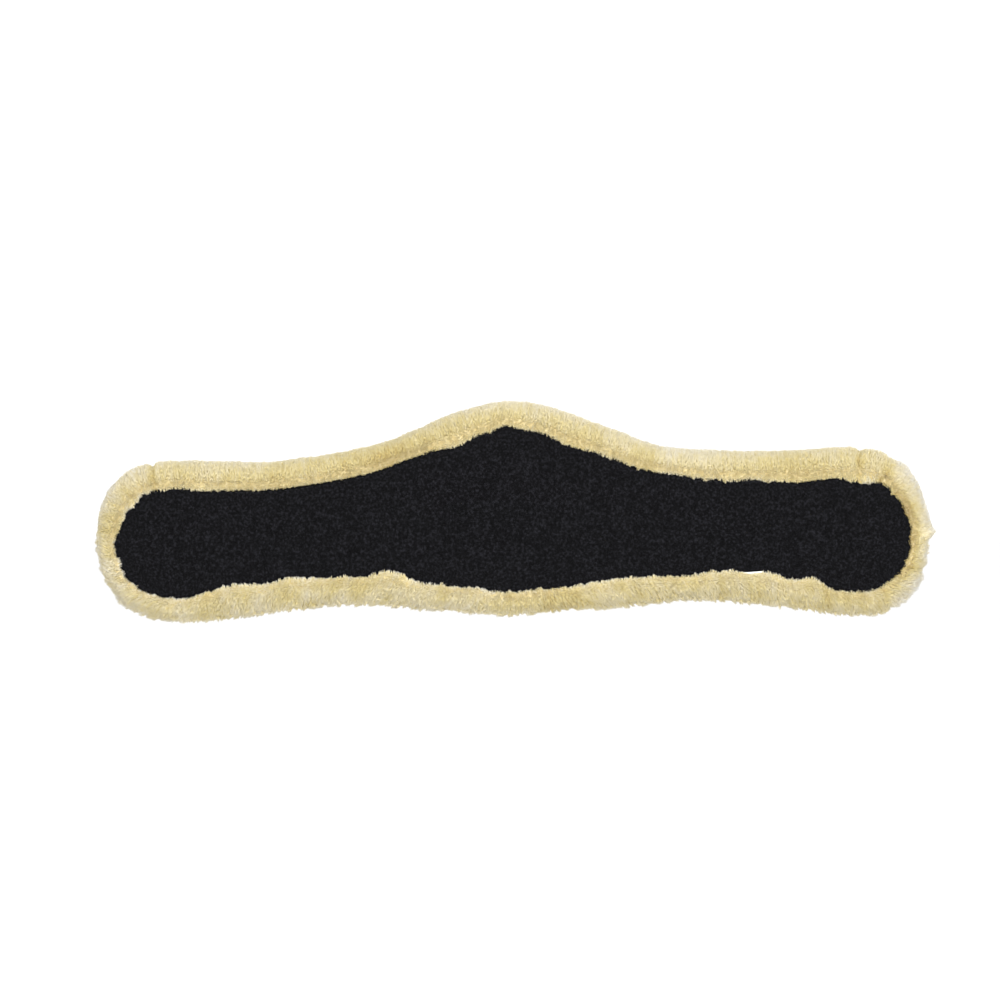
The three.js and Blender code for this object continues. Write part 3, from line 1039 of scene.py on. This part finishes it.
def rim_fuzz():
    """Longer fibres that fringe the loop panel's rim."""
    count = int(edge.length * RIM_FUZZ_DENSITY)
    place = RNG.uniform(0, edge.count, count)
    spot = edge.at(place)
    rough = (0.45 + 0.55 * spot.endness) * (1 - 0.8 * spot.neat)
    rough *= np.clip(1 - spot.spill / (2.5 * MM), 0, 1)
    back = RNG.uniform(-1.6, 0.2, count) * MM
    follow = np.where(spot.spill > 0, 0.6, 1.0)
    flat = spot.point + spot.out * (back - spot.spill * follow)[:, None]
    root = lifted(flat, RNG.uniform(-0.1, 0.7, count) * MM)
    clump = 0.5 + 0.5 * edge.ripple(place * STATION_STEP, 1.5 * MM, 78)
    reach = (0.35 + 1.5 * rough * clump * RNG.uniform(0.3, 1.0, count)) * MM
    side = (edge.ripple(place * STATION_STEP, 2.5 * MM, 79) + scatter(count, 0.35)) * 0.5 * MM
    away = spot.out * reach[:, None] + spot.along * side[:, None]
    rise = -RNG.uniform(0.3, 1.0, count) * MM * (0.5 + rough)
    tip = root + lifted(away, rise)
    radius = RNG.uniform(*RIM_FIBRE, count) * MM
    tones = rounded_tones(np.full(count, 0.7), 0.5, FUZZ_TONES)
    grow("rim_fuzz", root, None, tip, radius, tones, tones, loop_fibre)


# ---------- seams and label ----------

def stitches(name, outward, material):
    """A row of separate stitches along the edge, each a closed bead that dips in at its ends."""
    nodes = edge_nodes(name + "_thread")
    low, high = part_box(nodes[1])
    count = int(edge.length / STITCH_PITCH)
    steps = np.linspace(-0.5, 0.5, len(STITCH_PROFILE))
    place = (np.arange(count)[:, None] * STITCH_PITCH + steps[None] * STITCH_LENGTH) / STATION_STEP
    spot = edge.at(place.ravel())
    lift = STITCH_LIFT * np.tile(1 - (2 * steps) ** 2, count)
    middle = lifted(spot.point + spot.out * outward, (low.y + high.y) / 2 - lift)
    swell = np.tile(STITCH_RADIUS * STITCH_PROFILE, count)
    rings = []
    for k in range(STITCH_SIDES):
        turn = k * 2 * math.pi / STITCH_SIDES
        spoke = lifted(spot.out, 0) * math.cos(turn) + np.array([0, -math.sin(turn), 0])
        rings.append(middle + spoke * swell[:, None])
    size = len(steps) * STITCH_SIDES
    rows = np.stack(rings, axis=1).reshape(count, size, 3)
    one = loft_faces(len(steps), STITCH_SIDES)
    for side, sign in SIDES.items():
        chosen = rows[rows[:, :, 0].mean(axis=1) * sign >= 0]
        faces = [tuple(v + i * size for v in f) for i in range(len(chosen)) for f in one]
        half = object_from(f"{name}_{side}", chosen.reshape(-1, 3), faces, material)
        outward_faces(half)
        settle(half, side, nodes)


def seams():
    face_seam_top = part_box("face_seam_thread_centre_top")[1].z
    hidden = face_seam_top - panel_high.z - STITCH_RADIUS
    stitches("face_seam", hidden, cream_thread)
    stitches("loop_seam", -LOOP_SEAM_INSET, black_thread)


def label():
    """A blank folded ribbon caught in the lower seam, mostly under the wool."""
    sewn, fold = label_low.z, LABEL_FOLD
    tall = LABEL_SHOWN_TO - sewn
    path = [(sewn + tall * t, -0.2 * MM - LABEL_FORWARD * t * t) for t in np.linspace(0, 1, 12)]
    top_y = path[-1][1]
    for turn in np.linspace(0, math.pi, 7)[1:]:
        path.append((sewn + tall + fold * math.sin(turn), top_y + fold * (1 - math.cos(turn))))
    path += [(sewn + tall * t, top_y + 2 * fold) for t in np.linspace(1, 0, 12)[1:]]
    path = np.array(path)
    way = unit(np.gradient(path, axis=0))
    normal = np.stack([-way[:, 1], way[:, 0]], axis=1)
    ply = normal * LABEL_HALF_PLY
    outline = np.concatenate([path + ply, (path - ply)[::-1]])
    points = []
    for i in range(LABEL_COLUMNS):
        part = i / (LABEL_COLUMNS - 1) - 0.5
        for z, y in outline:
            high = (z - sewn) / tall
            points.append((
                LABEL_X + part * LABEL_WIDE + 0.3 * MM * high,
                y - 0.25 * MM * math.sin(part * 5 + high * 2) * high,
                z + LABEL_TILT * part * LABEL_WIDE * high,
            ))
    faces = loft_faces(LABEL_COLUMNS, len(outline))
    thing = object_from("care_ribbon", points, faces, satin)
    outward_faces(thing)
    bend(thing)
    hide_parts("care_label")


# ---------- stage ----------

def backdrop():
    size = FLOOR_HALF
    corners = [(-size, -size, 0), (size, -size, 0), (size, size, 0), (-size, size, 0)]
    pale = principled("floor", Base_Color=(0.85, 0.85, 0.85, 1), Roughness=1.0)[0]
    floor = object_from("floor", corners, [(0, 1, 2, 3)], pale)
    floor.location.z = FLOOR_HEIGHT
    world = bpy.data.worlds.new("studio")
    world.use_nodes = True
    background = world.node_tree.nodes["Background"]
    background.inputs["Color"].default_value = (1, 1, 1, 1)
    background.inputs["Strength"].default_value = WORLD_STRENGTH
    bpy.context.scene.world = world
    bpy.context.scene.view_settings.view_transform = "Standard"


def area_light(name, place, size, power):
    light = bpy.data.lights.new(name, "AREA")
    light.size = size
    light.energy = power
    thing = new_object(name, light)
    thing.location = place
    thing.rotation_euler = (-Vector(place)).to_track_quat("-Z", "Y").to_euler()
    thing.visible_camera = False


def camera():
    lens = bpy.data.cameras.new("camera")
    lens.lens = LENS
    lens.clip_end = 100
    thing = new_object("camera", lens)
    roll_middle = (ROLL_FRONT + ROLL_BACK) / 2
    distance = VIEW_WIDTH * lens.lens / lens.sensor_width
    thing.location = (VIEW_X, roll_middle - distance, VIEW_Z)
    thing.rotation_euler = (math.pi / 2, 0, 0)
    bpy.context.scene.camera = thing


camera()
backdrop()
area_light("key", **KEY_LIGHT)
area_light("fill", **FILL_LIGHT)
edge_base()
edge_skin()
inner_layers()
loop_panel()
seams()
label()
EdgeWool().plant()
face_pile()
